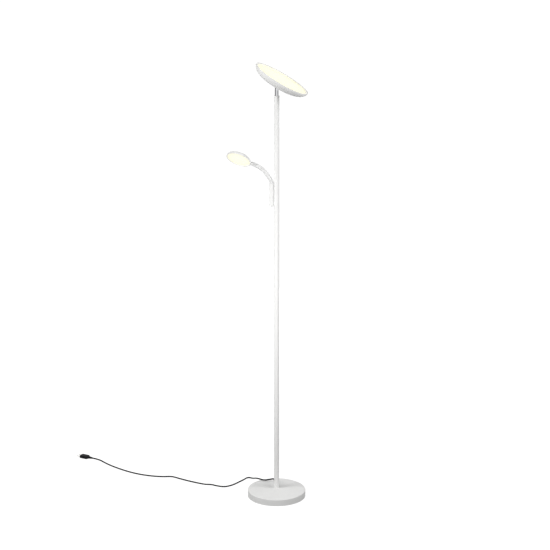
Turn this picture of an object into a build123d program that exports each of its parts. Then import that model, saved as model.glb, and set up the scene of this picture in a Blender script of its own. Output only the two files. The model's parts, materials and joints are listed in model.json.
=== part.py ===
from build123d import *
import math
import os

# A floor lamp with a tilting dish uplighter and a gooseneck reading light.
# Origin: centre of the base's underside, on the floor. +Z is up, the reading arm points to -X,
# the dish tilts towards +X and the mains lead leaves the pole at the rear, +Y.
# Millimetres and degrees.

# Fits
press_gap = 0.05
running_gap = 0.08
seat_gap = 0.3

# Base
base_diameter = 245.0
base_height = 33.5
base_crown = 5.0
base_edge_radius = 2.5
base_wall = 1.2
base_lift = 0.5
pad_thickness = 3.0
pad_inset = 5.5
weight_plate = 12.0
weight_clearance = 0.8
weight_boss_diameter = 60.0

# Fixing of the pole to the base
bolt_diameter = 10.0
bolt_hole_gap = 0.3
bolt_head_across = 17.0
bolt_head_height = 6.4
bolt_grip = 15.0
bolt_pocket_diameter = 26.0
bolt_head_gap = 0.6
washer_diameter = 22.0
washer_thickness = 2.0
foot_insert_length = 18.0

# Pole
pole_diameter = 22.0
pole_wall = 1.2
pole_section_length = 406.3
pole_section_count = 3
pole_top_length = 485.6
pole_seam_chamfer = 0.4
coupler_length = 36.0
coupler_bore = 11.0

# Chrome neck and hinge of the dish
neck_diameter = 16.0
neck_shank_diameter = 12.0
neck_bore = 7.0
neck_gap = 0.2
bush_length = 25.0
retainer_diameter = 17.0
retainer_thickness = 4.0
hinge_above_pole = 32.2
fork_slot = 6.4
fork_slot_depth = 10.0
fork_flats = 14.0
fork_flats_depth = 9.0
hinge_pin_diameter = 5.0
hinge_pin_head_diameter = 8.0
hinge_pin_head = 2.4
hinge_pin_past_nut = 0.8
hinge_nut_across = 8.0
hinge_nut_height = 3.5
tongue_thickness = 5.0
tongue_width = 14.0
hinge_washer_diameter = 12.0
hinge_washer_gap = 0.05

# Dish
dish_tilt = 30.0
dish_diameter = 241.0
dish_depth = 35.0
dish_floor_diameter = 110.0
dish_wall = 1.2
fork_clearance = 1.0
flange_diameter = 46.0
flange_thickness = 2.5
flange_screw_circle = 33.0
flange_screw_diameter = 4.0
flange_screw_head_diameter = 7.0
flange_screw_head = 2.2
flange_screw_past = 1.0
flange_screw_count = 4
board_clearance = 5.7
board_thickness = 1.6
board_post_inset = 9.0
board_post_diameter = 8.0
board_post_height = 9.0
board_post_count = 4
board_screw_diameter = 3.0
board_screw_head_diameter = 5.5
board_screw_head = 1.8
board_screw_bite = 6.0
chip_size = 3.5
chip_thickness = 0.8
chip_insets = (63.0, 30.0, 9.0)
chip_counts = (8, 14, 18)
driver_length = 46.0
driver_width = 22.0
driver_height = 8.0
driver_gap = 2.5
diffuser_thickness = 2.5
diffuser_below_rim = 4.0
rim_band = 7.0
rim_thickness = 2.5

# Reading arm
arm_height = 1294.0
arm_gap = 0.4
sleeve_diameter = 19.0
sleeve_wall = 1.5
sleeve_below = 14.0
sleeve_above = 76.0
spacer_diameter = 10.0
nipple_diameter = 6.0
nipple_bore = 4.0
nipple_past_nut = 0.4
nipple_nut_across = 9.0
nipple_nut_height = 3.0
button_gap = 0.4
button_proud = 5.0
button_inside = 5.0
button_edge_radius = 1.5
button_stem_clearance = 0.7
button_stem_gap = 0.3
button_travel = 1.5
switch_length = 22.0
switch_above_arm = 9.0
switch_bore_depth = 8.0
stem_in_switch = 5.0

# Gooseneck: ball-ended links; the odd joints bend in the plane of the arm, the even ones sideways
goose_diameter = 17.0
goose_bore = 5.0
goose_pitch = 11.1
goose_bends = (18.0, 13.0, 1.0, 3.0, 6.0, 4.0, 6.0, 6.0, 5.0, 4.0)
goose_socket_gap = 0.5
goose_start = 5.5
goose_plug_length = 24.0

# Reading head
reader_roll = 38.0
reader_diameter = 105.0
reader_depth = 16.0
reader_back_diameter = 72.0
reader_wall = 1.5
ferrule_end_wall = 0.9
ferrule_shoulder = 5.5
ferrule_tip_diameter = 12.0
ferrule_spigot_diameter = 5.0
ferrule_spigot_bore = 3.0
ferrule_nut_inset = 0.9
ferrule_nut_height = 3.0
ferrule_past_nut = 0.5
reader_boss_gap = 0.3
reader_boss_length = 9.0
reader_boss_proud = 0.1
reader_board_gap = 4.1
reader_board_thickness = 1.6
reader_light_gap = 2.2
reader_post_circle = 52.0
reader_post_diameter = 6.0
reader_post_count = 3
reader_screw_diameter = 2.5
reader_screw_head_diameter = 4.5
reader_screw_head = 1.4
reader_screw_bite = 5.0
reader_chip_circle = 34.0
reader_chip_count = 8
reader_diffuser_thickness = 1.6
reader_rim_band = 3.5
reader_rim_thickness = 1.2

# Mains lead and the lead inside the pole
exit_azimuth = 105.0
exit_above_insert = 1.5
relief_length = 25.0
relief_root_diameter = 13.0
relief_tip_diameter = 8.6
relief_neck_diameter = 9.0
relief_inside = 3.0
cord_diameter = 6.0
cord_lift = 0.1
lead_diameter = 4.4
lead_past_axis = 2.0
lead_turn_radius = 7.0
lead_top_gap = 46.0
connector_size = 9.0
connector_length = 22.0
plug_width = 27.0
plug_height = 13.6
plug_length = 36.0
plug_nose_length = 22.0
plug_nose_diameter = 8.6
plug_edge_radius = 3.0
pin_diameter = 4.0
pin_length = 19.0
pin_spacing = 18.6
pin_sink = 5.0
pin_tip_radius = 1.2

# Way of the mains lead between its strain relief and its plug, chosen by hand, for a base and an exit of
# the sizes below. The third number is the height above a lead that lies on the floor.
drawn_base_diameter = 245.0
drawn_exit_height = 57.5
drawn_cord_diameter = 6.0
cord_points = [
    (-13.4, 50.0, 52.1),
    (-22.4, 61.2, 46.1),
    (-34.5, 68.0, 40.5),
    (-48.5, 71.0, 36.9),
    (-62.0, 76.5, 36.6),
    (-76.0, 87.5, 36.7),
    (-89.0, 108.5, 30.9),
    (-99.0, 134.0, 19.6),
    (-108.3, 161.5, 9.1),
    (-116.8, 185.5, 2.5),
    (-129.5, 187.0, 0.5),
    (-139.0, 172.0, 0.0),
    (-149.0, 157.5, 0.0),
    (-159.5, 144.5, 0.0),
    (-173.5, 125.2, 0.0),
    (-193.5, 102.5, 0.0),
    (-224.0, 84.0, 0.0),
    (-258.0, 97.0, 0.0),
    (-282.0, 112.5, 0.0),
    (-305.0, 112.5, 0.0),
    (-329.0, 123.0, 0.0),
    (-372.0, 146.5, 0.0),
    (-416.0, 175.0, 0.0),
    (-455.0, 205.0, 0.0),
    (-487.0, 200.5, 0.0),
    (-518.0, 203.5, 0.0),
    (-549.0, 210.0, 0.0),
    (-593.0, 226.0, 0.0),
    (-639.0, 252.0, 0.0),
    (-685.0, 288.0, 0.0),
    (-730.0, 330.0, 0.0),
    (-760.0, 365.0, 0.0),
]
cord_end_points = [(-786.0, 393.0), (-818.0, 410.0)]

# Places worked out from the sizes above
base_radius = base_diameter / 2
pole_radius = pole_diameter / 2
pole_bore_radius = pole_radius - pole_wall
joint_heights = [base_height + pole_section_length * (i + 1) for i in range(pole_section_count)]
pole_top = joint_heights[-1] + pole_top_length
hinge_height = pole_top + hinge_above_pole
hinge_point = Vector(0, 0, hinge_height)
tilt = math.radians(dish_tilt)
dish_axis_dir = Vector(math.sin(tilt), 0, math.cos(tilt))
dish_x_dir = Vector(math.cos(tilt), 0, -math.sin(tilt))
dish_plane = Plane(origin=hinge_point, x_dir=dish_x_dir, z_dir=dish_axis_dir)
dish_profile = Plane(origin=hinge_point, x_dir=dish_x_dir, z_dir=(0, -1, 0))
dish_axis = Axis(hinge_point, dish_axis_dir)
dish_radius = dish_diameter / 2
hinge_to_dish = neck_diameter / 2 + fork_clearance
dish_rim_height = hinge_to_dish + dish_depth
dish_floor_inside = hinge_to_dish + dish_wall
sleeve_radius = sleeve_diameter / 2
sleeve_bore_radius = sleeve_radius - sleeve_wall
arm_offset = pole_radius + arm_gap + sleeve_radius
sleeve_bottom = arm_height - sleeve_below
sleeve_top = arm_height + sleeve_above
goose_radius = goose_diameter / 2
socket_radius = goose_radius + goose_socket_gap
exit_height = base_height + foot_insert_length + relief_neck_diameter / 2 + exit_above_insert
exit_angle = math.radians(exit_azimuth)
exit_dir = Vector(math.cos(exit_angle), math.sin(exit_angle), 0)
exit_plane = Plane(origin=(0, 0, exit_height), z_dir=exit_dir)
arm_plane = Plane(origin=(0, 0, arm_height), z_dir=(-1, 0, 0))
sleeve_plane = Plane(origin=(-arm_offset, 0, 0))


def save(builder, name):
    """Names a finished piece and writes it."""
    builder.part.label = name
    export_step(builder.part, f"parts/{name}.step")


def bowl_radius(height, rim_height, depth, floor_radius, rim_radius):
    """Radius of a bowl with elliptical sides, at a height between its floor and its rim."""
    share = (rim_height - height) / depth
    return floor_radius + (rim_radius - floor_radius) * math.sqrt(1 - share * share)


os.makedirs("parts", exist_ok=True)

# Base: crowned cover with a flat seat for the pole, ballast, pad and the bolt that holds the pole
cover_inside = base_height - base_wall
cover_edge = base_height - base_crown
seat_radius = weight_boss_diameter / 2
bolt_pocket_depth = washer_thickness + bolt_head_height + bolt_head_gap
washer_bottom = pad_thickness + bolt_pocket_depth - washer_thickness
bolt_hole_radius = bolt_diameter / 2 + bolt_hole_gap

with BuildPart() as base_cover:
    with BuildSketch(Plane.XZ) as cover_profile:
        with BuildLine():
            crown = TangentArc((seat_radius, base_height), (base_radius, cover_edge), tangent=(1, 0))
            Polyline(crown @ 1, (base_radius, base_lift), (0, base_lift), (0, base_height), crown @ 0)
        make_face()
        fillet(cover_profile.vertices().group_by(Axis.X)[-1].sort_by(Axis.Y)[-1], radius=base_edge_radius)
    revolve(axis=Axis.Z)
    offset(amount=-base_wall, openings=base_cover.faces().sort_by(Axis.Z)[0])
    with BuildSketch(Plane.XY.offset(base_height)):
        Circle(bolt_hole_radius)
    extrude(amount=-2 * base_wall, mode=Mode.SUBTRACT)
save(base_cover, "base_cover")

with BuildPart() as base_weight:
    with BuildSketch(Plane.XY.offset(pad_thickness)):
        Circle(base_radius - base_wall - weight_clearance)
    extrude(amount=weight_plate)
    with BuildSketch(Plane.XY.offset(pad_thickness)):
        Circle(weight_boss_diameter / 2)
    extrude(amount=cover_inside - pad_thickness)
    with BuildSketch(Plane.XY.offset(pad_thickness)):
        Circle(bolt_pocket_diameter / 2)
    extrude(amount=bolt_pocket_depth, mode=Mode.SUBTRACT)
    with BuildSketch(Plane.XY.offset(pad_thickness)):
        Circle(bolt_hole_radius)
    extrude(amount=base_height, mode=Mode.SUBTRACT)
save(base_weight, "base_weight")

with BuildPart() as base_pad:
    with BuildSketch():
        Circle(base_radius - pad_inset)
    extrude(amount=pad_thickness)
save(base_pad, "base_pad")

with BuildPart() as foot_washer:
    with BuildSketch(Plane.XY.offset(washer_bottom)):
        Circle(washer_diameter / 2)
        Circle(bolt_hole_radius, mode=Mode.SUBTRACT)
    extrude(amount=washer_thickness)
save(foot_washer, "foot_washer")

with BuildPart() as foot_bolt:
    with BuildSketch(Plane.XY.offset(washer_bottom - bolt_head_height)):
        RegularPolygon(bolt_head_across / 2, 6, major_radius=False)
    extrude(amount=bolt_head_height)
    with BuildSketch(Plane.XY.offset(washer_bottom)):
        Circle(bolt_diameter / 2)
    extrude(amount=base_height + bolt_grip - washer_bottom)
save(foot_bolt, "foot_bolt")

with BuildPart() as pole_foot_insert:
    with BuildSketch(Plane.XY.offset(base_height)):
        Circle(pole_bore_radius - press_gap)
        Circle(bolt_diameter / 2 + press_gap, mode=Mode.SUBTRACT)
    extrude(amount=foot_insert_length)
save(pole_foot_insert, "pole_foot_insert")

# Pole: four tubes, drilled for the mains lead near the foot and for the reading arm near the top
section_names = [f"pole_section_{i + 1}" for i in range(pole_section_count)] + ["pole_section_top"]
section_bottoms = [base_height] + joint_heights
section_lengths = [pole_section_length] * pole_section_count + [pole_top_length]
pole_holes = [
    (exit_height, exit_plane, relief_neck_diameter / 2 + press_gap),
    (arm_height, arm_plane, nipple_diameter / 2 + press_gap),
]
for section_name, bottom, length in zip(section_names, section_bottoms, section_lengths):
    with BuildPart() as pole_section:
        with BuildSketch(Plane.XY.offset(bottom)):
            Circle(pole_radius)
        extrude(amount=length)
        chamfer(pole_section.edges().filter_by(GeomType.CIRCLE), length=pole_seam_chamfer)
        with BuildSketch(Plane.XY.offset(bottom)):
            Circle(pole_bore_radius)
        extrude(amount=length, mode=Mode.SUBTRACT)
        for hole_height, hole_plane, hole_radius in pole_holes:
            if bottom - hole_radius < hole_height < bottom + length + hole_radius:
                with BuildSketch(hole_plane):
                    Circle(hole_radius)
                extrude(amount=pole_diameter, mode=Mode.SUBTRACT)
    save(pole_section, section_name)

with BuildPart() as pole_couplers:
    with Locations(*[(0, 0, height) for height in joint_heights]):
        Cylinder(pole_bore_radius - press_gap, coupler_length)
        Cylinder(coupler_bore / 2, coupler_length, mode=Mode.SUBTRACT)
save(pole_couplers, "pole_couplers")

# Lead inside the pole, from the strain relief up to a connector under the neck
lead_start = exit_dir * (pole_bore_radius - relief_inside) + Vector(0, 0, exit_height)
lead_corner = exit_dir * -lead_past_axis + Vector(0, 0, exit_height)
lead_end = Vector(lead_corner.X, lead_corner.Y, pole_top - bush_length - lead_top_gap)

with BuildPart() as pole_lead:
    with BuildLine():
        FilletPolyline(lead_start, lead_corner, lead_end, radius=lead_turn_radius)
    with BuildSketch(Plane(origin=lead_start, z_dir=exit_dir * -1)):
        Circle(lead_diameter / 2)
    sweep()
save(pole_lead, "pole_lead")

with BuildPart() as lead_connector:
    with BuildSketch(Plane(origin=lead_end)):
        RectangleRounded(connector_size, connector_size, connector_size / 6)
    extrude(amount=connector_length)
save(lead_connector, "lead_connector")

# Strain relief in the pole
relief_root = math.sqrt(pole_radius ** 2 - (relief_root_diameter / 2) ** 2)

with BuildPart() as strain_relief:
    with BuildSketch(exit_plane.offset(relief_root)):
        Circle(relief_root_diameter / 2)
    with BuildSketch(exit_plane.offset(pole_radius + relief_length)):
        Circle(relief_tip_diameter / 2)
    loft()
    with Locations((0, 0, exit_height)):
        Cylinder(pole_radius + press_gap, 2 * relief_root_diameter, mode=Mode.SUBTRACT)
    with BuildSketch(exit_plane.offset(pole_bore_radius - relief_inside)):
        Circle(relief_neck_diameter / 2)
    extrude(amount=relief_inside + pole_wall + relief_neck_diameter / 2)
save(strain_relief, "strain_relief")

# Mains lead
cord_floor = cord_diameter / 2 + cord_lift
spread = base_diameter / drawn_base_diameter
rise = exit_height / drawn_exit_height
route = [exit_dir * (pole_radius + relief_length) + Vector(0, 0, exit_height)]
route += [Vector(x * spread, y * spread, cord_floor + z * rise) for x, y, z in cord_points]
route += [Vector(x * spread, y * spread, plug_height / 2) for x, y in cord_end_points]


def turn_radius(before, point, after):
    """The widest arc that two runs of the lead allow at the point where they meet."""
    first, second = point - before, after - point
    half_turn = math.radians(first.get_angle(second)) / 2
    return 0.45 * min(first.length, second.length) / math.tan(half_turn)


cord_radii = [turn_radius(*route[i - 1:i + 2]) for i in range(1, len(route) - 1)]

with BuildPart() as mains_cord:
    with BuildLine() as cord_path:
        FilletPolyline(*route, radius=cord_radii)
    with BuildSketch(Plane(origin=route[0], z_dir=route[1] - route[0])):
        Circle(cord_diameter / 2)
    sweep()
save(mains_cord, "mains_cord")

cord_length = sum(edge.length for edge in cord_path.edges())
cord_section = math.pi * cord_diameter ** 2 / 4
print("lead radii in diameters:", [round(radius / cord_diameter, 1) for radius in cord_radii])
print("lead length:", round(cord_length, 1))
print("volume over section times length:", round(mains_cord.part.volume / (cord_section * cord_length), 4))

# Plug at the end of the mains lead
plug_dir = (route[-1] - route[-2]).normalized()
plug_plane = Plane(origin=route[-1], x_dir=(-plug_dir.Y, plug_dir.X, 0), z_dir=plug_dir)
plug_axis = Axis(route[-1], plug_dir)

with BuildPart() as mains_plug_body:
    with BuildSketch(plug_plane):
        Circle(plug_nose_diameter / 2)
    with BuildSketch(plug_plane.offset(plug_nose_length)):
        RectangleRounded(plug_width - plug_edge_radius, plug_height - plug_edge_radius / 2, plug_edge_radius)
    loft()
    with BuildSketch(plug_plane.offset(plug_nose_length)):
        RectangleRounded(plug_width, plug_height, plug_edge_radius)
    extrude(amount=plug_length)
    fillet(mains_plug_body.faces().sort_by(plug_axis)[-1].edges(), radius=plug_edge_radius / 3)
    with BuildSketch(plug_plane.offset(plug_nose_length + plug_length)):
        with GridLocations(pin_spacing, 0, 2, 1):
            Circle(pin_diameter / 2 + press_gap)
    extrude(amount=-pin_sink, mode=Mode.SUBTRACT)
save(mains_plug_body, "mains_plug_body")

with BuildPart() as mains_plug_pins:
    with BuildSketch(plug_plane.offset(plug_nose_length + plug_length - pin_sink)):
        with GridLocations(pin_spacing, 0, 2, 1):
            Circle(pin_diameter / 2)
    extrude(amount=pin_sink + pin_length)
    fillet(mains_plug_pins.faces().sort_by(plug_axis)[-2:].edges(), radius=pin_tip_radius)
save(mains_plug_pins, "mains_plug_pins")

# Chrome neck: turns in a bush in the pole's top and carries the hinge in a fork
neck_bottom = pole_top - bush_length - neck_gap - retainer_thickness
neck_shoulder = pole_top + neck_gap
fork_reach = 2 * neck_diameter

with BuildPart() as pole_top_bush:
    with BuildSketch(Plane.XY.offset(pole_top - bush_length)):
        Circle(pole_bore_radius - press_gap)
        Circle(neck_shank_diameter / 2 + running_gap, mode=Mode.SUBTRACT)
    extrude(amount=bush_length)
save(pole_top_bush, "pole_top_bush")

with BuildPart() as neck_retainer:
    with BuildSketch(Plane.XY.offset(neck_bottom)):
        Circle(retainer_diameter / 2)
        Circle(neck_shank_diameter / 2 + press_gap, mode=Mode.SUBTRACT)
    extrude(amount=retainer_thickness)
save(neck_retainer, "neck_retainer")

with BuildPart() as neck:
    with BuildSketch(Plane.XY.offset(neck_bottom)):
        Circle(neck_shank_diameter / 2)
    extrude(amount=neck_shoulder - neck_bottom)
    with BuildSketch(Plane.XY.offset(neck_shoulder)):
        Circle(neck_diameter / 2)
    extrude(amount=hinge_height + neck_diameter / 2 - neck_shoulder)
    with BuildSketch(Plane.XZ):
        with Locations((0, hinge_height)):
            Circle(neck_diameter / 2)
        with Locations((0, (neck_bottom + hinge_height) / 2)):
            Rectangle(neck_diameter, hinge_height - neck_bottom)
    extrude(amount=neck_diameter, both=True, mode=Mode.INTERSECT)
    with BuildSketch(Plane.XY.offset(hinge_height - fork_slot_depth)):
        Rectangle(fork_reach, fork_slot)
    extrude(amount=fork_reach, mode=Mode.SUBTRACT)
    with BuildSketch(Plane.XY.offset(hinge_height - fork_flats_depth)):
        Rectangle(fork_reach, fork_reach)
        Rectangle(fork_reach, fork_flats, mode=Mode.SUBTRACT)
    extrude(amount=fork_reach, mode=Mode.SUBTRACT)
    with BuildSketch(Plane.XY.offset(neck_bottom)):
        Circle(neck_bore / 2)
    extrude(amount=hinge_height - fork_slot_depth - neck_bottom, mode=Mode.SUBTRACT)
    with BuildSketch(Plane.XZ):
        with Locations((0, hinge_height)):
            Circle(hinge_pin_diameter / 2 + press_gap)
    extrude(amount=neck_diameter, both=True, mode=Mode.SUBTRACT)
save(neck, "neck")

# Hinge of the dish
fork_front = Plane(origin=(0, -fork_flats / 2, hinge_height), z_dir=(0, 1, 0))
fork_rear = Plane(origin=(0, fork_flats / 2, hinge_height), z_dir=(0, 1, 0))

with BuildPart() as hinge_pin:
    with BuildSketch(fork_front):
        Circle(hinge_pin_head_diameter / 2)
    extrude(amount=-hinge_pin_head)
    with BuildSketch(fork_front):
        Circle(hinge_pin_diameter / 2)
    extrude(amount=fork_flats + hinge_nut_height + hinge_pin_past_nut)
save(hinge_pin, "hinge_pin")

with BuildPart() as hinge_nut:
    with BuildSketch(fork_rear):
        RegularPolygon(hinge_nut_across / 2, 6, major_radius=False)
        Circle(hinge_pin_diameter / 2 + press_gap, mode=Mode.SUBTRACT)
    extrude(amount=hinge_nut_height)
save(hinge_nut, "hinge_nut")

with BuildPart() as hinge_washers:
    for side in (-1, 1):
        washer_face = side * (tongue_thickness / 2 + hinge_washer_gap)
        with BuildSketch(Plane(origin=(0, washer_face, hinge_height), z_dir=(0, side, 0))):
            Circle(hinge_washer_diameter / 2)
            Circle(hinge_pin_diameter / 2 + running_gap, mode=Mode.SUBTRACT)
        extrude(amount=(fork_slot - tongue_thickness) / 2 - 2 * hinge_washer_gap)
save(hinge_washers, "hinge_washers")

with BuildPart() as dish_bracket:
    with BuildSketch(dish_profile):
        Circle(tongue_width / 2)
        with Locations((0, dish_floor_inside / 2)):
            Rectangle(tongue_width, dish_floor_inside)
        Circle(hinge_pin_diameter / 2 + running_gap, mode=Mode.SUBTRACT)
    extrude(amount=tongue_thickness / 2, both=True)
    with BuildSketch(dish_plane.offset(dish_floor_inside)):
        Circle(flange_diameter / 2)
        with PolarLocations(flange_screw_circle / 2, flange_screw_count, start_angle=45):
            Circle(flange_screw_diameter / 2 + press_gap, mode=Mode.SUBTRACT)
    extrude(amount=flange_thickness)
save(dish_bracket, "dish_bracket")

with BuildPart() as dish_bracket_screws:
    with BuildSketch(dish_plane.offset(hinge_to_dish)):
        with PolarLocations(flange_screw_circle / 2, flange_screw_count, start_angle=45):
            Circle(flange_screw_head_diameter / 2)
    extrude(amount=-flange_screw_head)
    with BuildSketch(dish_plane.offset(hinge_to_dish)):
        with PolarLocations(flange_screw_circle / 2, flange_screw_count, start_angle=45):
            Circle(flange_screw_diameter / 2)
    extrude(amount=dish_wall + flange_thickness + flange_screw_past)
save(dish_bracket_screws, "dish_bracket_screws")

# Dish: a shell with a flat floor and elliptical sides
dish_floor_radius = dish_floor_diameter / 2
dish_inside = (dish_rim_height, dish_depth - dish_wall, dish_floor_radius, dish_radius - dish_wall)

with BuildPart() as dish_shell:
    with BuildSketch(dish_profile):
        for inset, fill in ((0, Mode.ADD), (dish_wall, Mode.SUBTRACT)):
            with BuildLine():
                Line((0, hinge_to_dish + inset), (dish_floor_radius, hinge_to_dish + inset))
                side = EllipticalCenterArc((dish_floor_radius, dish_rim_height),
                                           dish_radius - dish_floor_radius - inset, dish_depth - inset,
                                           start_angle=-90, arc_size=90)
                Polyline(side @ 1, (0, dish_rim_height), (0, hinge_to_dish + inset))
            make_face(mode=fill)
    revolve(axis=dish_axis)
    with BuildSketch(dish_plane.offset(hinge_to_dish)):
        Rectangle(tongue_width + 2 * seat_gap, tongue_thickness + 2 * seat_gap)
        with PolarLocations(flange_screw_circle / 2, flange_screw_count, start_angle=45):
            Circle(flange_screw_diameter / 2 + press_gap)
    extrude(amount=2 * dish_wall, mode=Mode.SUBTRACT)
save(dish_shell, "dish_shell")

# Light source of the dish
board_height = dish_floor_inside + board_post_height
board_top = board_height + board_thickness
board_radius = bowl_radius(board_height, *dish_inside) - board_clearance
board_post_radius = dish_floor_radius - board_post_inset
driver_offset = flange_diameter / 2 + driver_gap + driver_width / 2

with BuildPart() as board_standoffs:
    with BuildSketch(dish_plane.offset(dish_floor_inside)):
        with PolarLocations(board_post_radius, board_post_count, start_angle=45):
            Circle(board_post_diameter / 2)
            Circle(board_screw_diameter / 2 + press_gap, mode=Mode.SUBTRACT)
    extrude(amount=board_post_height)
save(board_standoffs, "board_standoffs")

with BuildPart() as dish_led_board:
    with BuildSketch(dish_plane.offset(board_height)):
        Circle(board_radius)
        with PolarLocations(board_post_radius, board_post_count, start_angle=45):
            Circle(board_screw_diameter / 2 + press_gap, mode=Mode.SUBTRACT)
    extrude(amount=board_thickness)
save(dish_led_board, "dish_led_board")

with BuildPart() as board_screws:
    with BuildSketch(dish_plane.offset(board_top)):
        with PolarLocations(board_post_radius, board_post_count, start_angle=45):
            Circle(board_screw_head_diameter / 2)
    extrude(amount=board_screw_head)
    with BuildSketch(dish_plane.offset(board_top)):
        with PolarLocations(board_post_radius, board_post_count, start_angle=45):
            Circle(board_screw_diameter / 2)
    extrude(amount=-board_thickness - board_screw_bite)
save(board_screws, "board_screws")

with BuildPart() as dish_led_chips:
    with BuildSketch(dish_plane.offset(board_top)):
        for inset, count in zip(chip_insets, chip_counts):
            with PolarLocations(board_radius - inset, count):
                Rectangle(chip_size, chip_size)
    extrude(amount=chip_thickness)
save(dish_led_chips, "dish_led_chips")

with BuildPart() as dish_driver:
    with BuildSketch(dish_plane.offset(dish_floor_inside)):
        with Locations((driver_offset, 0)):
            RectangleRounded(driver_width, driver_length, driver_width / 12)
    extrude(amount=driver_height)
save(dish_driver, "dish_driver")

# Opal cover of the dish and the ring that holds it
cover_top = dish_rim_height - diffuser_below_rim
cover_bottom = cover_top - diffuser_thickness
dish_ring_radius = bowl_radius(cover_top, *dish_inside) - press_gap

with BuildPart() as dish_diffuser:
    with BuildSketch(dish_plane.offset(cover_bottom)):
        Circle(bowl_radius(cover_bottom, *dish_inside) - seat_gap)
    extrude(amount=diffuser_thickness)
save(dish_diffuser, "dish_diffuser")

with BuildPart() as dish_rim:
    with BuildSketch(dish_plane.offset(cover_top)):
        Circle(dish_ring_radius)
        Circle(dish_ring_radius - rim_band, mode=Mode.SUBTRACT)
    extrude(amount=rim_thickness)
save(dish_rim, "dish_rim")

# Reading arm: upright sleeve beside the pole, bolted to it through a hollow nipple
nut_corner = nipple_nut_across / math.sqrt(3)
pole_nut_seat = -math.sqrt(pole_bore_radius ** 2 - nut_corner ** 2)
sleeve_nut_seat = -arm_offset + math.sqrt(sleeve_bore_radius ** 2 - nut_corner ** 2)
nipple_hole_radius = nipple_diameter / 2 + press_gap
nipple_start = pole_nut_seat + nipple_nut_height + nipple_past_nut
nipple_end = sleeve_nut_seat - nipple_nut_height - nipple_past_nut
button_stem_radius = nipple_end + arm_offset - button_stem_clearance

with BuildPart() as arm_sleeve:
    with BuildSketch(sleeve_plane.offset(sleeve_bottom)):
        Circle(sleeve_radius)
        Circle(sleeve_bore_radius, mode=Mode.SUBTRACT)
    extrude(amount=sleeve_top - sleeve_bottom)
    with BuildSketch(Plane(origin=(-arm_offset, 0, arm_height), z_dir=(1, 0, 0))):
        Circle(nipple_hole_radius)
    extrude(amount=sleeve_diameter, mode=Mode.SUBTRACT)
save(arm_sleeve, "arm_sleeve")

with BuildPart() as arm_spacer:
    with BuildSketch(arm_plane):
        Circle(spacer_diameter / 2)
        Circle(nipple_hole_radius, mode=Mode.SUBTRACT)
    extrude(amount=arm_offset)
    with Locations((0, 0, arm_height)):
        Cylinder(pole_radius + press_gap, 2 * spacer_diameter, mode=Mode.SUBTRACT)
    with Locations((-arm_offset, 0, arm_height)):
        Cylinder(sleeve_radius + press_gap, 2 * spacer_diameter, mode=Mode.SUBTRACT)
save(arm_spacer, "arm_spacer")

with BuildPart() as arm_nipple:
    with BuildSketch(arm_plane.offset(-nipple_start)):
        Circle(nipple_diameter / 2)
        Circle(nipple_bore / 2, mode=Mode.SUBTRACT)
    extrude(amount=nipple_start - nipple_end)
save(arm_nipple, "arm_nipple")

with BuildPart() as arm_nipple_nuts:
    for seat in (pole_nut_seat + nipple_nut_height, sleeve_nut_seat):
        with BuildSketch(arm_plane.offset(-seat)):
            RegularPolygon(nipple_nut_across / 2, 6, major_radius=False)
            Circle(nipple_hole_radius, mode=Mode.SUBTRACT)
        extrude(amount=nipple_nut_height)
save(arm_nipple_nuts, "arm_nipple_nuts")

# Switch of the reading light, worked by a button in the sleeve's lower end
switch_bottom = arm_height + switch_above_arm
button_top = sleeve_bottom + button_inside

with BuildPart() as switch_body:
    with BuildSketch(sleeve_plane.offset(switch_bottom)):
        Circle(sleeve_bore_radius - press_gap)
    extrude(amount=switch_length)
    with BuildSketch(sleeve_plane.offset(switch_bottom)):
        Circle(button_stem_radius + button_stem_gap)
    extrude(amount=switch_bore_depth, mode=Mode.SUBTRACT)
save(switch_body, "switch_body")

with BuildPart() as switch_button:
    with BuildSketch(sleeve_plane.offset(sleeve_bottom - button_proud)):
        Circle(sleeve_bore_radius - button_gap)
    extrude(amount=button_proud + button_inside)
    fillet(switch_button.faces().sort_by(Axis.Z)[0].edges(), radius=button_edge_radius)
    with BuildSketch(sleeve_plane.offset(button_top)):
        Circle(button_stem_radius)
    extrude(amount=switch_bottom + stem_in_switch - button_top)
save(switch_button, "switch_button")

# Gooseneck: its root in the sleeve, then ten links, each with a socket below and a ball above
joint = Vector(-arm_offset, 0, sleeve_top + goose_start)

with BuildPart() as gooseneck_root:
    with BuildSketch(sleeve_plane.offset(sleeve_top - goose_plug_length)):
        Circle(sleeve_bore_radius - press_gap)
    extrude(amount=goose_plug_length)
    with BuildSketch(sleeve_plane.offset(sleeve_top)):
        Circle(goose_radius)
    extrude(amount=goose_start)
    with Locations(joint):
        Sphere(goose_radius)
    with BuildSketch(sleeve_plane.offset(sleeve_top - goose_plug_length)):
        Circle(goose_bore / 2)
    extrude(amount=goose_plug_length + goose_start + goose_diameter, mode=Mode.SUBTRACT)
save(gooseneck_root, "gooseneck_root")

lean = 0.0
for i, bend in enumerate(goose_bends):
    lean += math.radians(bend)
    goose_dir = Vector(-math.sin(lean), 0, math.cos(lean))
    goose_side = Vector(math.cos(lean), 0, math.sin(lean))
    link_plane = Plane(origin=joint, x_dir=goose_side, z_dir=goose_dir)
    next_joint = joint + goose_dir * goose_pitch
    print("joint", i + 1, [round(value, 3) for value in joint], "lean", round(math.degrees(lean), 2))
    with BuildPart() as gooseneck_link:
        with BuildSketch(link_plane):
            Circle(goose_radius)
        extrude(amount=goose_pitch)
        with Locations(next_joint):
            Sphere(goose_radius)
        with Locations(joint):
            Sphere(socket_radius, mode=Mode.SUBTRACT)
        with BuildSketch(link_plane):
            Circle(goose_bore / 2)
        extrude(amount=goose_pitch + goose_diameter, mode=Mode.SUBTRACT)
    save(gooseneck_link, f"gooseneck_link_{i + 1:02d}")
    joint = next_joint

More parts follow.
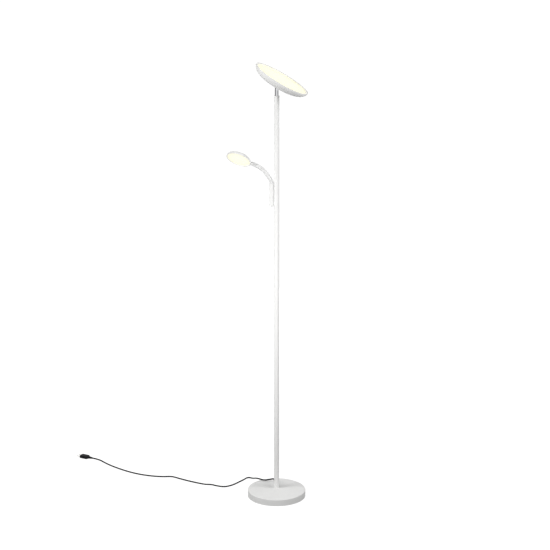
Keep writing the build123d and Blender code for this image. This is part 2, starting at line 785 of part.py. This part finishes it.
# Reading head: frame of its own, x towards the gooseneck and z out of its back
arm_end = joint
reader_radius = reader_diameter / 2
reader_half = reader_depth / 2
reader_back_radius = reader_back_diameter / 2
reader_ring_top = reader_rim_thickness - reader_half
reader_cover_top = reader_ring_top + reader_diffuser_thickness
reader_boss_radius = -reader_cover_top - reader_boss_gap
reader_seat = reader_radius + reader_boss_proud
ferrule_length = socket_radius + ferrule_end_wall
reader_centre = arm_end + goose_dir * (ferrule_length + reader_seat)
roll = math.radians(reader_roll)
light_dir = goose_side * -math.cos(roll) + Vector(0, -1, 0) * math.sin(roll)
reader_side = goose_dir.cross(light_dir)
reader_plane = Plane(origin=reader_centre, x_dir=goose_dir * -1, z_dir=light_dir * -1)
reader_profile = Plane(origin=reader_centre, x_dir=goose_dir * -1, z_dir=reader_side)
reader_axis = Axis(reader_centre, light_dir * -1)
boss_plane = Plane(origin=reader_centre, x_dir=reader_side, z_dir=goose_dir * -1)
boss_inside = reader_seat - reader_boss_length
print("arm end", [round(value, 3) for value in arm_end], "direction", [round(v, 4) for v in goose_dir])
print("reading head", [round(value, 3) for value in reader_centre], "light", [round(v, 4) for v in light_dir])

with BuildPart() as reader_ferrule:
    with BuildSketch(Plane(origin=arm_end, x_dir=goose_side, z_dir=(0, -1, 0))):
        with BuildLine():
            Polyline((0, 0), (goose_radius, 0), (goose_radius, ferrule_shoulder),
                     (ferrule_tip_diameter / 2, ferrule_length), (0, ferrule_length), close=True)
        make_face()
    revolve(axis=Axis(arm_end, goose_dir))
    with BuildSketch(boss_plane.offset(reader_seat)):
        Circle(ferrule_spigot_diameter / 2)
    extrude(amount=-reader_boss_length - ferrule_nut_height - ferrule_past_nut)
    with Locations(arm_end):
        Sphere(socket_radius, mode=Mode.SUBTRACT)
    with BuildSketch(boss_plane.offset(reader_seat + ferrule_length)):
        Circle(ferrule_spigot_bore / 2)
    extrude(amount=-reader_radius, mode=Mode.SUBTRACT)
save(reader_ferrule, "reader_ferrule")

with BuildPart() as reader_ferrule_nut:
    with BuildSketch(boss_plane.offset(boss_inside)):
        RegularPolygon(reader_boss_radius - ferrule_nut_inset, 6, major_radius=False)
        Circle(ferrule_spigot_diameter / 2 + press_gap, mode=Mode.SUBTRACT)
    extrude(amount=-ferrule_nut_height)
save(reader_ferrule_nut, "reader_ferrule_nut")

reader_board_bottom = reader_cover_top + reader_light_gap
reader_board_top = reader_board_bottom + reader_board_thickness
reader_board_radius = boss_inside - ferrule_nut_height - ferrule_past_nut - reader_board_gap

with BuildPart() as reader_shell:
    with BuildSketch(reader_profile):
        for inset, fill in ((0, Mode.ADD), (reader_wall, Mode.SUBTRACT)):
            with BuildLine():
                side = EllipticalCenterArc((reader_back_radius, -reader_half),
                                           reader_radius - reader_back_radius - inset, reader_depth - inset,
                                           start_angle=0, arc_size=90)
                Polyline(side @ 1, (0, reader_half - inset), (0, -reader_half), side @ 0)
            make_face(mode=fill)
    revolve(axis=reader_axis)
    with BuildSketch(boss_plane.offset(boss_inside)):
        Circle(reader_boss_radius)
    extrude(amount=reader_boss_length)
    with BuildSketch(reader_plane.offset(reader_board_top)):
        with PolarLocations(reader_post_circle / 2, reader_post_count):
            Circle(reader_post_diameter / 2)
    extrude(amount=reader_half - reader_wall / 2 - reader_board_top)
    with BuildSketch(boss_plane.offset(reader_seat)):
        Circle(ferrule_spigot_diameter / 2 + press_gap)
    extrude(amount=-reader_boss_length, mode=Mode.SUBTRACT)
    with BuildSketch(reader_plane.offset(reader_board_top)):
        with PolarLocations(reader_post_circle / 2, reader_post_count):
            Circle(reader_screw_diameter / 2 + press_gap)
    extrude(amount=reader_screw_bite + seat_gap, mode=Mode.SUBTRACT)
save(reader_shell, "reader_shell")

with BuildPart() as reader_led_board:
    with BuildSketch(reader_plane.offset(reader_board_bottom)):
        Circle(reader_board_radius)
        with PolarLocations(reader_post_circle / 2, reader_post_count):
            Circle(reader_screw_diameter / 2 + press_gap, mode=Mode.SUBTRACT)
    extrude(amount=reader_board_thickness)
save(reader_led_board, "reader_led_board")

with BuildPart() as reader_screws:
    with BuildSketch(reader_plane.offset(reader_board_bottom)):
        with PolarLocations(reader_post_circle / 2, reader_post_count):
            Circle(reader_screw_head_diameter / 2)
    extrude(amount=-reader_screw_head)
    with BuildSketch(reader_plane.offset(reader_board_bottom)):
        with PolarLocations(reader_post_circle / 2, reader_post_count):
            Circle(reader_screw_diameter / 2)
    extrude(amount=reader_board_thickness + reader_screw_bite)
save(reader_screws, "reader_screws")

with BuildPart() as reader_led_chips:
    with BuildSketch(reader_plane.offset(reader_board_bottom)):
        with PolarLocations(reader_chip_circle / 2, reader_chip_count):
            Rectangle(chip_size, chip_size)
    extrude(amount=-chip_thickness)
save(reader_led_chips, "reader_led_chips")

# Opal cover of the reading head and the ring that holds it
reader_inside = (-reader_half, reader_depth - reader_wall, reader_back_radius, reader_radius - reader_wall)
reader_ring_radius = bowl_radius(reader_ring_top, *reader_inside) - press_gap

with BuildPart() as reader_diffuser:
    with BuildSketch(reader_plane.offset(reader_ring_top)):
        Circle(bowl_radius(reader_cover_top, *reader_inside) - seat_gap)
    extrude(amount=reader_diffuser_thickness)
save(reader_diffuser, "reader_diffuser")

with BuildPart() as reader_rim:
    with BuildSketch(reader_plane.offset(-reader_half)):
        Circle(reader_ring_radius)
        Circle(reader_ring_radius - reader_rim_band, mode=Mode.SUBTRACT)
    extrude(amount=reader_rim_thickness)
save(reader_rim, "reader_rim")
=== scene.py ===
import json
import math

import bpy
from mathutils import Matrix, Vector


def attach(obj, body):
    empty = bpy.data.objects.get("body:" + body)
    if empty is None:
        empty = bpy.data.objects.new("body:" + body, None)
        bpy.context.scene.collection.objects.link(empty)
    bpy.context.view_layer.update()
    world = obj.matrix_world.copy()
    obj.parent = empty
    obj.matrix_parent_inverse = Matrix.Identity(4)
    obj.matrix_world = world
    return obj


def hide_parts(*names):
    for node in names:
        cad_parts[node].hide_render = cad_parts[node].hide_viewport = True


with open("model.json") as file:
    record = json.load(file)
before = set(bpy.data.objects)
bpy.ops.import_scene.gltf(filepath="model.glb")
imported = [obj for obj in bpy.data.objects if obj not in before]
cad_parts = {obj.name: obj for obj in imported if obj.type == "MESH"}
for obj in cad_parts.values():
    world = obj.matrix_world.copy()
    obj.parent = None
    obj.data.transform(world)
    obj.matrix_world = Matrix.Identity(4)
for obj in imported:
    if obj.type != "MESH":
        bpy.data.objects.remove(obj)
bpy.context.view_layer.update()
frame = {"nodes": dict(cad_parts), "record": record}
nodes = frame["nodes"]
scene = bpy.context.scene
scene.view_settings.view_transform = "Standard"

# Camera, fitted to the photograph
picture_size = 550
focal_length = 2216.62  # in pixels of the picture
sensor_width = 36
camera_dip = 16.96
camera = bpy.data.objects.new("camera", bpy.data.cameras.new("camera"))
scene.collection.objects.link(camera)
scene.camera = camera
camera.location = (-0.0069, -8.7651, 3.6543)
camera.rotation_euler = (math.radians(90 - camera_dip), 0, 0)
camera.data.sensor_width = sensor_width
camera.data.lens = sensor_width * focal_length / picture_size
camera.data.clip_start = 0.1
camera.data.clip_end = 200

# Materials
white = ((0.845, 0.845, 0.835), (0.87, 0.87, 0.862))
opal_base = (0.5, 0.49, 0.4)
# Colour of the painted glow given to the rims beside the light covers
rim_painted_glow = (1.0, 0.96, 0.84)


def shader_tree(name):
    """A new material, its node tree and its Principled shader."""
    material = bpy.data.materials.new(name)
    material.use_nodes = True
    tree = material.node_tree
    return material, tree, tree.nodes["Principled BSDF"]


def noise(tree, scale, detail=2.0, stretch=(1, 1, 1)):
    """A noise in the piece's own coordinates, in cells per metre. Gives its Factor output."""
    coordinates = tree.nodes.new("ShaderNodeTexCoord")
    mapping = tree.nodes.new("ShaderNodeMapping")
    mapping.inputs["Scale"].default_value = stretch
    texture = tree.nodes.new("ShaderNodeTexNoise")
    texture.inputs["Scale"].default_value = scale
    texture.inputs["Detail"].default_value = detail
    tree.links.new(coordinates.outputs["Object"], mapping.inputs["Vector"])
    tree.links.new(mapping.outputs["Vector"], texture.inputs["Vector"])
    return texture.outputs[0]


def between(tree, factor, low, high, start=0.3, end=0.7):
    """Maps a factor to a range of numbers."""
    span = tree.nodes.new("ShaderNodeMapRange")
    for name, value in (("From Min", start), ("From Max", end), ("To Min", low), ("To Max", high)):
        span.inputs[name].default_value = value
    tree.links.new(factor, span.inputs["Value"])
    return span.outputs["Result"]


def blend_colours(tree, factor, first, second, start=0.3, end=0.7):
    """Maps a factor to a range of colours."""
    ramp = tree.nodes.new("ShaderNodeValToRGB")
    ramp.color_ramp.elements[0].position = start
    ramp.color_ramp.elements[1].position = end
    ramp.color_ramp.elements[0].color = (*first, 1)
    ramp.color_ramp.elements[1].color = (*second, 1)
    tree.links.new(factor, ramp.inputs["Fac"])
    return ramp.outputs["Color"]


def bump(tree, shader, height, strength, depth):
    """Feeds a height into the shader's normal."""
    node = tree.nodes.new("ShaderNodeBump")
    node.inputs["Strength"].default_value = strength
    node.inputs["Distance"].default_value = depth
    tree.links.new(height, node.inputs["Height"])
    tree.links.new(node.outputs["Normal"], shader.inputs["Normal"])


def finish(name, colours, rough, patch, grain, strength, depth, metallic=0.0, stretch=(1, 1, 1), detail=2.0,
           specular=0.5):
    """A surface with slow changes of colour, changes of gloss and a fine grain.

    The patch of colour and the grain are in cells per metre. The strength and the depth are the grain's bump.
    """
    material, tree, shader = shader_tree(name)
    shader.inputs["Metallic"].default_value = metallic
    shader.inputs["Specular IOR Level"].default_value = specular
    tree.links.new(blend_colours(tree, noise(tree, patch, 3.0), *colours), shader.inputs["Base Color"])
    tree.links.new(between(tree, noise(tree, patch * 9, 3.0, stretch), *rough), shader.inputs["Roughness"])
    bump(tree, shader, noise(tree, grain, detail, stretch), strength, depth)
    return material


def opal(name, centre, axis, radius, glow, strength):
    """Lit opal acrylic, a little dimmer and warmer towards its rim: glow and strength are at the middle and the rim."""
    material, tree, shader = shader_tree(name)
    material.cycles.emission_sampling = "NONE"
    coordinates = tree.nodes.new("ShaderNodeTexCoord")
    offset = tree.nodes.new("ShaderNodeVectorMath")
    offset.operation = "SUBTRACT"
    offset.inputs[1].default_value = centre
    cross = tree.nodes.new("ShaderNodeVectorMath")
    cross.operation = "CROSS_PRODUCT"
    cross.inputs[1].default_value = axis
    length = tree.nodes.new("ShaderNodeVectorMath")
    length.operation = "LENGTH"
    tree.links.new(coordinates.outputs["Object"], offset.inputs[0])
    tree.links.new(offset.outputs[0], cross.inputs[0])
    tree.links.new(cross.outputs[0], length.inputs[0])
    away = between(tree, length.outputs["Value"], 0.0, 1.0, 0.0, radius)
    tree.links.new(blend_colours(tree, away, *glow, 0.55, 1.0), shader.inputs["Emission Color"])
    tree.links.new(between(tree, away, *strength, 0.5, 1.0), shader.inputs["Emission Strength"])
    tree.links.new(between(tree, noise(tree, 60, 3.0), 0.22, 0.3), shader.inputs["Roughness"])
    shader.inputs["Base Color"].default_value = (*opal_base, 1)
    bump(tree, shader, noise(tree, 700), 0.05, 0.0001)
    return material


def painted_glow_rim(name, strength):
    """A white rim given a painted glow: an even warm emission that lightens it, though it is no lamp."""
    material = finish(name, white, rough=(0.5, 0.6), patch=20, grain=1500, strength=0.06, depth=0.0001, specular=0.3)
    material.cycles.emission_sampling = "NONE"
    shader = material.node_tree.nodes["Principled BSDF"]
    shader.inputs["Emission Color"].default_value = (*rim_painted_glow, 1)
    shader.inputs["Emission Strength"].default_value = strength
    return material


slots = {
    "white_paint": finish(
        "powder_coat", white,
        rough=(0.56, 0.66), patch=9, grain=900, strength=0.14, depth=0.00025, specular=0.3),
    "white_alloy": finish(
        "powder_coat_on_casting", white,
        rough=(0.38, 0.48), patch=12, grain=800, strength=0.16, depth=0.00025),
    # The gooseneck sleeve is a little greyer than the white paint: painted shade for its rib grooves and shaded
    # underside
    "goose_white": finish(
        "ribbed_sleeve_painted_shade", ((0.76, 0.76, 0.755), (0.8, 0.8, 0.795)),
        rough=(0.42, 0.55), patch=20, grain=1200, strength=0.1, depth=0.0002),
    "white_plastic": finish(
        "moulded_white", ((0.84, 0.84, 0.83), (0.86, 0.86, 0.85)),
        rough=(0.3, 0.42), patch=20, grain=1500, strength=0.06, depth=0.0001),
    "chrome": finish(
        "polished_chrome", ((0.62, 0.625, 0.64), (0.68, 0.685, 0.7)),
        rough=(0.04, 0.11), patch=30, grain=2500, strength=0.03, depth=0.00005, metallic=1.0, stretch=(1, 1, 0.15)),
    "zinc_steel": finish(
        "zinc_plate", ((0.5, 0.5, 0.5), (0.62, 0.61, 0.58)),
        rough=(0.25, 0.42), patch=60, grain=2000, strength=0.1, depth=0.0001, metallic=1.0),
    "cast_iron": finish(
        "cast_iron", ((0.035, 0.035, 0.036), (0.07, 0.068, 0.066)),
        rough=(0.6, 0.8), patch=25, grain=450, strength=0.5, depth=0.0008, detail=6.0),
    "pad_rubber": finish(
        "foam_pad", ((0.022, 0.022, 0.022), (0.04, 0.04, 0.04)),
        rough=(0.75, 0.92), patch=15, grain=700, strength=0.5, depth=0.0006, detail=5.0),
    "black_pvc": finish(
        "black_pvc", ((0.006, 0.006, 0.007), (0.012, 0.012, 0.013)),
        rough=(0.5, 0.64), patch=30, grain=1500, strength=0.12, depth=0.0002, specular=0.12),
    "nickel_pin": finish(
        "nickel_plate", ((0.6, 0.59, 0.56), (0.68, 0.67, 0.64)),
        rough=(0.16, 0.3), patch=80, grain=2500, strength=0.05, depth=0.00005, metallic=1.0),
    "lead_sheath": finish(
        "lead_sheath", ((0.7, 0.7, 0.69), (0.76, 0.76, 0.75)),
        rough=(0.45, 0.6), patch=30, grain=1500, strength=0.1, depth=0.0002),
    "black_plastic": finish(
        "moulded_black", ((0.015, 0.015, 0.015), (0.025, 0.025, 0.025)),
        rough=(0.4, 0.55), patch=20, grain=1500, strength=0.08, depth=0.0001),
    "board_white": finish(
        "solder_mask", ((0.8, 0.8, 0.78), (0.86, 0.86, 0.84)),
        rough=(0.35, 0.5), patch=40, grain=1500, strength=0.05, depth=0.0001),
    "led_yellow": finish(
        "phosphor", ((0.85, 0.62, 0.12), (0.95, 0.75, 0.22)),
        rough=(0.3, 0.45), patch=200, grain=3000, strength=0.1, depth=0.0001),
}

# The two light covers, each with its middle, the way it faces and its radius
dish_tilt = math.radians(30)
dish_hinge = Vector((0, 0, 1.7702))
dish_axis = Vector((math.sin(dish_tilt), 0, math.cos(dish_tilt)))
reader_centre = Vector((-0.1524, 0, 1.478481))
reader_axis = Vector((-0.3205, -0.6157, -0.7199))
lit = {
    "dish_diffuser": opal("opal_dish", dish_hinge, dish_axis, 0.118,
                          glow=((1.0, 0.95, 0.62), (1.0, 0.93, 0.56)), strength=(0.62, 0.55)),
    "reader_diffuser": opal("opal_reader", reader_centre, reader_axis, 0.0505,
                            glow=((1.0, 0.95, 0.68), (1.0, 0.93, 0.62)), strength=(0.72, 0.64)),
    # The rims get a painted glow, though they are no lamp
    "dish_rim": painted_glow_rim("dish_rim_painted_glow", 0.25),
    "reader_rim": painted_glow_rim("reader_rim_painted_glow", 0.2),
}
for entry in frame["record"]["subparts"]:
    wanted = lit.get(entry["node"]) or slots[entry["material_slot"]]
    for material_slot in nodes[entry["node"]].material_slots:
        material_slot.material = wanted


# Meshes
def mesh_piece(name, points, faces, material, sharp):
    """A smooth-shaded mesh object with one material, and edges over the sharp angle kept sharp."""
    mesh = bpy.data.meshes.new(name)
    mesh.from_pydata(points, [], faces)
    mesh.validate()
    mesh.shade_smooth()
    mesh.set_sharp_from_angle(angle=math.radians(sharp))
    mesh.materials.append(material)
    piece = bpy.data.objects.new(name, mesh)
    scene.collection.objects.link(piece)
    return piece


def skin(rows, count):
    """Faces of a closed skin over rows of points, count to a row, with a cap at each end."""
    faces = []
    for row in range(rows - 1):
        for k in range(count):
            a, b = row * count + k, row * count + (k + 1) % count
            faces.append((a, b, b + count, a + count))
    faces.append(tuple(range(count - 1, -1, -1)))
    faces.append(tuple(range((rows - 1) * count, rows * count)))
    return faces


def tube(stations, count=48):
    """Points and faces of a closed tube: each station is (centre, first side, second side, radius)."""
    points = []
    for centre, u, v, radius in stations:
        for k in range(count):
            turn = 2 * math.pi * k / count
            points.append(centre + (u * math.cos(turn) + v * math.sin(turn)) * radius)
    return points, skin(len(stations), count)


# Mains lead: the same way as the solid's, as one smooth curve
exit_turn = math.radians(105)
exit_dir = Vector((math.cos(exit_turn), math.sin(exit_turn), 0))
exit_level = Vector((0, 0, 0.0575))
cord_exit = exit_dir * 0.036 + exit_level
cord_diameter = 0.006
cord_route = (
    # down over the rear of the base, in mm
    (-13.4, 50.0, 55.2), (-22.4, 61.2, 49.2), (-34.5, 68.0, 43.6), (-48.5, 71.0, 40.0), (-62.0, 76.5, 39.7),
    (-76.0, 87.5, 39.8), (-89.0, 108.5, 34.0), (-99.0, 134.0, 22.7), (-108.3, 161.5, 12.2), (-116.8, 185.5, 5.6),
    # the fold, where it turns back on the floor
    (-129.5, 187.0, 3.6), (-139.0, 172.0, 3.1), (-149.0, 157.5, 3.1), (-159.5, 144.5, 3.1), (-173.5, 125.2, 3.1),
    # across the floor
    (-193.5, 102.5, 3.1), (-224.0, 84.0, 3.1), (-258.0, 97.0, 3.1), (-282.0, 112.5, 3.1), (-305.0, 112.5, 3.1),
    (-329.0, 123.0, 3.1), (-372.0, 146.5, 3.1), (-416.0, 175.0, 3.1), (-455.0, 205.0, 3.1), (-487.0, 200.5, 3.1),
    (-518.0, 203.5, 3.1), (-549.0, 210.0, 3.1), (-593.0, 226.0, 3.1), (-639.0, 252.0, 3.1), (-685.0, 288.0, 3.1),
    (-730.0, 330.0, 3.1), (-760.0, 365.0, 3.1),
    # up into the plug
    (-786.0, 393.0, 6.8), (-818.0, 410.0, 6.8),
)
cord_points = [cord_exit] + [Vector(point) / 1000 for point in cord_route]
curve = bpy.data.curves.new("mains_lead", "CURVE")
curve.dimensions = "3D"
curve.bevel_depth = cord_diameter / 2
curve.bevel_resolution = 6
curve.resolution_u = 8
curve.use_fill_caps = True
spline = curve.splines.new("NURBS")
spline.points.add(len(cord_points) - 1)
for control, point in zip(spline.points, cord_points):
    control.co = (*point, 1)
spline.order_u = 3
spline.use_endpoint_u = True
curve.materials.append(slots["black_pvc"])
lead = bpy.data.objects.new("mains_lead", curve)
scene.collection.objects.link(lead)
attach(lead, "stand")
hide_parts("mains_cord")

# Plug: a moulded body with a segmented nose and grip grooves.
# Each row of its profile is its reach along the plug, width and height in mm, and how square it is (2 is an ellipse)
plug_start = cord_points[-1]
plug_dir = (cord_points[-1] - cord_points[-2]).normalized()
plug_side = Vector((-plug_dir.y, plug_dir.x, 0))
plug_count = 64
nose_rings, nose_pitch, nose_widening, nose_rise = 4, 3.4, 1.6, 0.4
grip_grooves, grip_start, grip_pitch = 5, 31.0, 3.6
plug_width, groove_width, plug_height = 27.0, 25.8, 13.6
plug_profile = [(0.0, 8.0, 8.0, 2), (0.6, 8.6, 8.6, 2)]
for step in range(nose_rings):
    reach, wider, higher = nose_pitch * step, nose_widening * step, nose_rise * step
    plug_profile += [
        (2.0 + reach, 8.6 + wider, 8.4 + higher, 2),
        (2.6 + reach, 7.4 + wider, 7.2 + higher, 2),
        (4.0 + reach, 7.5 + wider, 7.3 + higher, 2),
        (4.6 + reach, 8.9 + wider, 8.5 + higher, 2.2),
    ]
plug_profile += [(17.0, 17.0, 10.2, 2.6), (20.0, 22.0, 12.0, 3.2), (22.0, 25.0, 13.0, 4), (24.0, 26.6, 13.5, 5),
                 (27.0, plug_width, plug_height, 6)]
for step in range(grip_grooves):
    reach = grip_start + grip_pitch * step
    plug_profile += [
        (reach, plug_width, plug_height, 6),
        (reach + 0.4, groove_width, plug_height, 6),
        (reach + 1.4, groove_width, plug_height, 6),
        (reach + 1.8, plug_width, plug_height, 6),
    ]
plug_profile += [(56.0, plug_width, plug_height, 6), (57.4, 26.6, 13.2, 6), (58.0, 25.6, 12.4, 6)]


def squared(share, power):
    """A cosine or sine moved out from the circle towards the square."""
    return math.copysign(abs(share) ** (2 / power), share)


points = []
for reach, width, height, power in plug_profile:
    for k in range(plug_count):
        turn = 2 * math.pi * k / plug_count
        u = squared(math.cos(turn), power) * width / 2000
        v = squared(math.sin(turn), power) * height / 2000
        points.append(plug_start + plug_dir * (reach / 1000) + plug_side * u + Vector((0, 0, v)))
plug = mesh_piece("plug_body", points, skin(len(plug_profile), plug_count), slots["black_pvc"], 30)
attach(plug, "stand")
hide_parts("mains_plug_body")

# Gooseneck: a ribbed sleeve on each link, whose upper end is a ball that turns in the socket of the next
goose_bends = (18, 13, 1, 3, 6, 4, 6, 6, 5, 4)
goose_root = Vector((-0.0209, 0, 1.3755))
goose_pitch = 0.0111
goose_half = goose_pitch / 2
goose_radius = 0.0085
rib_depth = 0.00045
ribs_per_link = 4
ball_radius = 0.00755
socket_radius = 0.00775
arc_steps = 40
arc_middle = arc_steps // 2
across = Vector((0, -1, 0))


def goose_dir(lean):
    """The way along the arm, leaning to the left of upright."""
    return Vector((-math.sin(lean), 0, math.cos(lean)))


def goose_side(lean):
    """The way square to the arm, in its plane."""
    return Vector((math.cos(lean), 0, math.sin(lean)))


def rib(share):
    """Radius of the ribbed sleeve, by the share of a link's length."""
    return goose_radius - rib_depth * (0.5 + 0.5 * math.cos(2 * math.pi * ribs_per_link * share)) ** 2


def goose_arc(joint, lean_in, lean_out):
    """Rows of the sleeve around one joint: an arc between the middles of its two links."""
    turn = lean_out - lean_in
    bow = goose_half / math.tan(turn / 2)
    start = joint - goose_dir(lean_in) * goose_half
    rows = []
    for step in range(arc_steps + 1):
        share = step / arc_steps
        lean = lean_in + turn * share
        centre = start + (goose_side(lean) - goose_side(lean_in)) * bow
        rows.append((centre, goose_side(lean), across, rib(share)))
    return rows


def round_rows(middle, lean, radius, angles):
    """Rows of a ball or of a socket around a joint, by their angle from its middle plane."""
    return [(middle + goose_dir(lean) * (radius * math.sin(math.radians(angle))), goose_side(lean), across,
             radius * math.cos(math.radians(angle))) for angle in angles]


def goose_sleeve(name, rows, body, node):
    """One rigid length of the sleeve, which rides with its link in place of the link's solid."""
    points, faces = tube(rows)
    sleeve = mesh_piece(name, points, faces, slots["goose_white"], 60)
    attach(sleeve, body)
    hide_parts(node)


joint = goose_root
lean = 0.0
name, body, node = "gooseneck_sleeve_root", "stand", "gooseneck_root"
rows = []
for number, bend in enumerate(goose_bends, 1):
    lean_in, lean = lean, lean + math.radians(bend)
    arc = goose_arc(joint, lean_in, lean)
    middle, mean_lean = arc[arc_middle][0], (lean_in + lean) / 2
    # Steps of the arc left out on each side of the joint, more at the first because it bends most
    room = 4 if number == 1 else 3
    rows += arc[:arc_middle - room + 1]
    rows += round_rows(middle, mean_lean, ball_radius, range(-2 * room, 21, 2))
    goose_sleeve(name, rows, body, node)
    rows = round_rows(middle, mean_lean, socket_radius, range(33, 2 * room - 1, -3)) + arc[arc_middle + room:]
    name, body, node = f"gooseneck_sleeve_{number:02d}", f"link_{number:02d}", f"gooseneck_link_{number:02d}"
    joint = joint + goose_dir(lean) * goose_pitch

# Its end: the last half link and the ball in the reading head's ferrule
rows += [(joint - goose_dir(lean) * (goose_half - goose_half * step / arc_middle), goose_side(lean), across,
          rib(step / arc_steps)) for step in range(1, arc_middle + 1)]
rows += round_rows(joint, lean, goose_radius, range(4, 44, 4))
goose_sleeve(name, rows, body, node)

# Strain relief: a soft tapered bush with ribs that let it bend, as rows of reach and radius
relief_ribs = 5
relief_pitch = 0.0037
relief_profile = [(0.0109, 0.0066), (0.0138, 0.0066), (0.0144, 0.0062)]
for step in range(relief_ribs):
    inner, outer = 0.0048 - 0.0002 * step, 0.0061 - 0.0004 * step
    reach = 0.0149 + relief_pitch * step
    relief_profile += [(reach, inner), (reach + 0.001, inner), (reach + 0.0014, outer),
                       (reach + 0.0031, outer - 0.0002), (reach + 0.0036, inner)]
relief_profile += [(0.0341, 0.0042), (0.0356, 0.0041), (0.036, 0.0036)]
relief_up = Vector((0, 0, 1))
relief_across = relief_up.cross(exit_dir)
points, faces = tube([(exit_dir * reach + exit_level, relief_across, relief_up, radius)
                      for reach, radius in relief_profile])
relief = mesh_piece("lead_relief", points, faces, slots["black_pvc"], 30)
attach(relief, "stand")
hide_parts("strain_relief")

# Floor, backdrop and light
floor_half = 40
floor_bounce = 0.3
world_light = 0.18


def seen_rays(tree):
    """1 for rays that show the background: from the camera, in reflections and through glass."""
    paths = tree.nodes.new("ShaderNodeLightPath")
    total = paths.outputs["Is Camera Ray"]
    for way in ("Is Glossy Ray", "Is Transmission Ray"):
        largest = tree.nodes.new("ShaderNodeMath")
        largest.operation = "MAXIMUM"
        tree.links.new(total, largest.inputs[0])
        tree.links.new(paths.outputs[way], largest.inputs[1])
        total = largest.outputs[0]
    return total


def stage_mesh(name, corners):
    """A four-cornered stage piece, the tree of its material and that tree's output."""
    mesh = bpy.data.meshes.new(name)
    mesh.from_pydata(corners, [], [(0, 1, 2, 3)])
    material = bpy.data.materials.new(name)
    material.use_nodes = True
    material.cycles.emission_sampling = "NONE"
    mesh.materials.append(material)
    piece = bpy.data.objects.new(name, mesh)
    scene.collection.objects.link(piece)
    tree = material.node_tree
    tree.nodes.clear()
    output = tree.nodes.new("ShaderNodeOutputMaterial")
    return piece, tree, output.inputs["Surface"]


# The floor shows white under its shading, a little less so near the lamp, so that the shadow is kept there
floor, tree, surface = stage_mesh("floor", [(-floor_half, -floor_half, 0), (floor_half, -floor_half, 0),
                                            (floor_half, floor_half, 0), (-floor_half, floor_half, 0)])
choice = tree.nodes.new("ShaderNodeMixShader")
seen = tree.nodes.new("ShaderNodeAddShader")
glow = tree.nodes.new("ShaderNodeEmission")
shaded = tree.nodes.new("ShaderNodeBsdfDiffuse")
shaded.inputs["Color"].default_value = (floor_bounce, floor_bounce, floor_bounce, 1)
place = tree.nodes.new("ShaderNodeTexCoord")
away = tree.nodes.new("ShaderNodeVectorMath")
away.operation = "LENGTH"
tree.links.new(place.outputs["Object"], away.inputs[0])
tree.links.new(between(tree, away.outputs["Value"], 0.9, 1.0, 0.5, 2.5), glow.inputs["Strength"])
tree.links.new(glow.outputs[0], seen.inputs[0])
tree.links.new(shaded.outputs[0], seen.inputs[1])
tree.links.new(seen_rays(tree), choice.inputs["Fac"])
tree.links.new(shaded.outputs[0], choice.inputs[1])
tree.links.new(seen.outputs[0], choice.inputs[2])
tree.links.new(choice.outputs[0], surface)

world = bpy.data.worlds.new("studio")
scene.world = world
world.use_nodes = True
tree = world.node_tree
background = tree.nodes["Background"]
tree.links.new(between(tree, seen_rays(tree), world_light, 1.0, 0.0, 1.0), background.inputs["Strength"])
background.inputs["Color"].default_value = (1, 1, 1, 1)


def lamp(name, place, target, size, power, spread=180):
    """A soft oblong lamp aimed at a point, which reflections don't show."""
    light = bpy.data.lights.new(name, "AREA")
    light.energy = power
    light.shape = "RECTANGLE"
    light.size, light.size_y = size
    light.spread = math.radians(spread)
    piece = bpy.data.objects.new(name, light)
    piece.location = place
    piece.visible_glossy = False
    piece.rotation_euler = (Vector(target) - Vector(place)).to_track_quat("-Z", "Y").to_euler()
    scene.collection.objects.link(piece)


lamp("side_left", place=(-3.4, -1.6, 2.6), target=(0, 0, 0.9), size=(1.4, 1.4), power=44)
lamp("side_right", place=(3.4, -1.6, 2.6), target=(0, 0, 0.9), size=(1.4, 1.4), power=35)
lamp("high_left", place=(-1.9, -1.2, 3), target=(0, 0, 1.1), size=(1.2, 1.2), power=27)
lamp("high_right", place=(1.6, -0.8, 2.4), target=(0, 0, 1.3), size=(1.2, 1.2), power=16.5)
lamp("front", place=(-0.35, -1.35, 0.98), target=(0, 0, 0.98), size=(1.2, 0.3), power=6, spread=120)
lamp("back", place=(0.4, 3, 0.55), target=(0, 0, 1), size=(1.6, 1), power=24)


def card(name, turn, away, width, height, level, grey):
    """A grey card beside the lamp that only reflections see: the turn is from the camera's side, to the right."""
    turn = math.radians(turn)
    out = Vector((math.sin(turn), -math.cos(turn), 0))
    side = Vector((out.y, -out.x, 0)) * (width / 2)
    rise = Vector((0, 0, height / 2))
    middle = out * away + Vector((0, 0, level))
    piece, tree, surface = stage_mesh(name, [middle - side - rise, middle + side - rise, middle + side + rise,
                                             middle - side + rise])
    glow = tree.nodes.new("ShaderNodeEmission")
    glow.inputs["Strength"].default_value = grey
    tree.links.new(glow.outputs[0], surface)
    for way in ("camera", "diffuse", "shadow", "transmission", "volume_scatter"):
        setattr(piece, f"visible_{way}", False)


card("card_left", turn=-97, away=1.0, width=1.3, height=0.7, level=1.5, grey=0.03)
card("card_right", turn=29, away=1.2, width=0.5, height=0.7, level=1.45, grey=0.12)
card("card_far_right", turn=97, away=1.0, width=1.0, height=0.7, level=1.5, grey=0.3)
